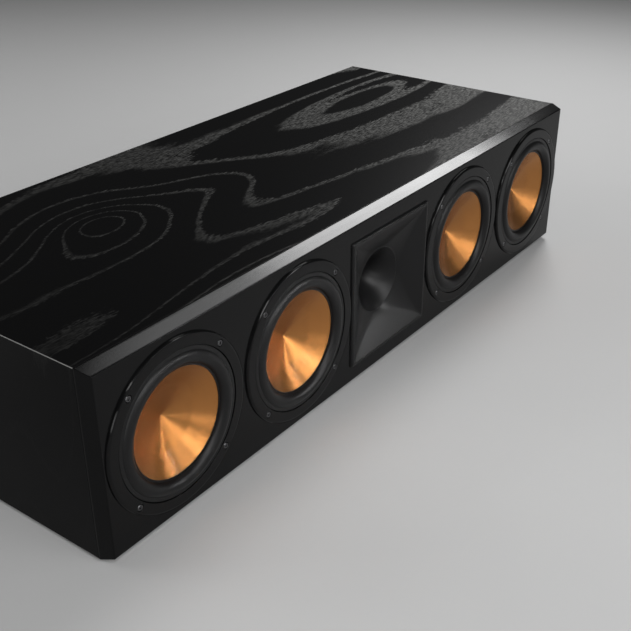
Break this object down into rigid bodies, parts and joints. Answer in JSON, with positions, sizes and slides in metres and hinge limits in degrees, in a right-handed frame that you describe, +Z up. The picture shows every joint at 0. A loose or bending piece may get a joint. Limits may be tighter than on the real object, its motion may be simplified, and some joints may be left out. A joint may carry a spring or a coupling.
{
  "type": "centre channel speaker",
  "caption": "Long low loudspeaker cabinet in black veneer with copper-coloured woofers either side of a square-mouthed horn, and ports and binding posts behind.",
  "frame": {"origin": "centre of the footprint of the whole speaker, at the underside of its feet", "axes": "+X along the width, the drivers face -Y, +Z up"},
  "size_m": [0.965, 0.3965, 0.221],
  "materials": {
    "veneer": "black-stained ash veneer under satin lacquer",
    "baffle_paint": "satin black paint on board",
    "rear_paint": "matt black paint on board",
    "raw_board": "raw fibreboard",
    "basket_cast": "cast frame, satin black coat",
    "surround_rubber": "moulded butyl rubber",
    "cone_metal": "spun metal, copper anodised",
    "coil_copper": "copper wire on a former",
    "spider_cloth": "resin-treated cotton",
    "plate_steel": "zinc-plated steel",
    "ferrite": "sintered ferrite",
    "horn_plastic": "moulded plastic, fine matt grain",
    "driver_alloy": "turned alloy",
    "dome_metal": "thin titanium-coloured foil",
    "port_plastic": "moulded plastic",
    "cup_plastic": "moulded plastic",
    "post_plating": "gold-coloured plating",
    "cap_red": "clear-coated red plastic",
    "cap_black": "clear-coated black plastic",
    "screw_black": "black oxide steel",
    "foot_rubber": "soft rubber",
    "board_laminate": "green circuit board",
    "capacitor_film": "wrapped film",
    "resistor_body": "cast white body"
  },
  "bodies": {
    "cabinet": {"cabinet_wrap": "veneer", "front_baffle": "baffle_paint", "rear_panel": "rear_paint", "brace_left": "raw_board", "brace_right": "raw_board", "feet": "foot_rubber", "panel_screws": "screw_black", "horn": "horn_plastic", "tweeter_front_plate": "driver_alloy", "tweeter_diaphragm": "dome_metal", "tweeter_magnet": "ferrite", "tweeter_rear_cover": "horn_plastic", "port_left": "port_plastic", "port_right": "port_plastic", "terminal_cup": "cup_plastic", "binding_posts": "post_plating", "crossover_board": "board_laminate", "crossover_coils": "coil_copper", "crossover_capacitors": "capacitor_film", "crossover_resistors": "resistor_body", "woofer_1_basket": "basket_cast", "woofer_1_surround": "surround_rubber", "woofer_1_spider": "spider_cloth", "woofer_1_top_plate": "plate_steel", "woofer_1_magnet": "ferrite", "woofer_1_yoke": "plate_steel", "woofer_2_basket": "basket_cast", "woofer_2_surround": "surround_rubber", "woofer_2_spider": "spider_cloth", "woofer_2_top_plate": "plate_steel", "woofer_2_magnet": "ferrite", "woofer_2_yoke": "plate_steel", "woofer_3_basket": "basket_cast", "woofer_3_surround": "surround_rubber", "woofer_3_spider": "spider_cloth", "woofer_3_top_plate": "plate_steel", "woofer_3_magnet": "ferrite", "woofer_3_yoke": "plate_steel", "woofer_4_basket": "basket_cast", "woofer_4_surround": "surround_rubber", "woofer_4_spider": "spider_cloth", "woofer_4_top_plate": "plate_steel", "woofer_4_magnet": "ferrite", "woofer_4_yoke": "plate_steel"},
    "woofer_1_moving": {"woofer_1_cone": "cone_metal", "woofer_1_dust_cap": "cone_metal", "woofer_1_voice_coil": "coil_copper"},
    "woofer_2_moving": {"woofer_2_cone": "cone_metal", "woofer_2_dust_cap": "cone_metal", "woofer_2_voice_coil": "coil_copper"},
    "woofer_3_moving": {"woofer_3_cone": "cone_metal", "woofer_3_dust_cap": "cone_metal", "woofer_3_voice_coil": "coil_copper"},
    "woofer_4_moving": {"woofer_4_cone": "cone_metal", "woofer_4_dust_cap": "cone_metal", "woofer_4_voice_coil": "coil_copper"},
    "post_left_clamp": {"post_left_washer": "post_plating"},
    "post_left_knob": {"post_left_cap": "cap_red"},
    "post_right_clamp": {"post_right_washer": "post_plating"},
    "post_right_knob": {"post_right_cap": "cap_black"}
  },
  "joints": [
    {"name": "woofer_1_stroke", "type": "slide", "parent": "cabinet", "child": "woofer_1_moving", "axis": [0, -1, 0], "range_m": [-0.005, 0.005], "stiffness_N_per_m": 1250, "deforming": ["woofer_1_surround", "woofer_1_spider"]},
    {"name": "woofer_2_stroke", "type": "slide", "parent": "cabinet", "child": "woofer_2_moving", "axis": [0, -1, 0], "range_m": [-0.005, 0.005], "stiffness_N_per_m": 1250, "deforming": ["woofer_2_surround", "woofer_2_spider"]},
    {"name": "woofer_3_stroke", "type": "slide", "parent": "cabinet", "child": "woofer_3_moving", "axis": [0, -1, 0], "range_m": [-0.005, 0.005], "stiffness_N_per_m": 1250, "deforming": ["woofer_3_surround", "woofer_3_spider"]},
    {"name": "woofer_4_stroke", "type": "slide", "parent": "cabinet", "child": "woofer_4_moving", "axis": [0, -1, 0], "range_m": [-0.005, 0.005], "stiffness_N_per_m": 1250, "deforming": ["woofer_4_surround", "woofer_4_spider"]},
    {"name": "post_left_lift", "type": "slide", "parent": "cabinet", "child": "post_left_clamp", "axis": [0, 1, 0], "range_m": [0, 0.004]},
    {"name": "post_left_turn", "type": "hinge", "parent": "post_left_clamp", "child": "post_left_knob", "pos_m": [-0.00953, 0.17125, 0.1125], "axis": [0, 1, 0], "range_deg": [0, 1440]},
    {"name": "post_right_lift", "type": "slide", "parent": "cabinet", "child": "post_right_clamp", "axis": [0, 1, 0], "range_m": [0, 0.004]},
    {"name": "post_right_turn", "type": "hinge", "parent": "post_right_clamp", "child": "post_right_knob", "pos_m": [0.00953, 0.17125, 0.1125], "axis": [0, 1, 0], "range_deg": [0, 1440]}
  ],
  "couplings": [
    {"joint": "post_left_turn", "follows": "post_left_lift", "rad_per_m": 6283.2},
    {"joint": "post_right_turn", "follows": "post_right_lift", "rad_per_m": 6283.2}
  ]
}
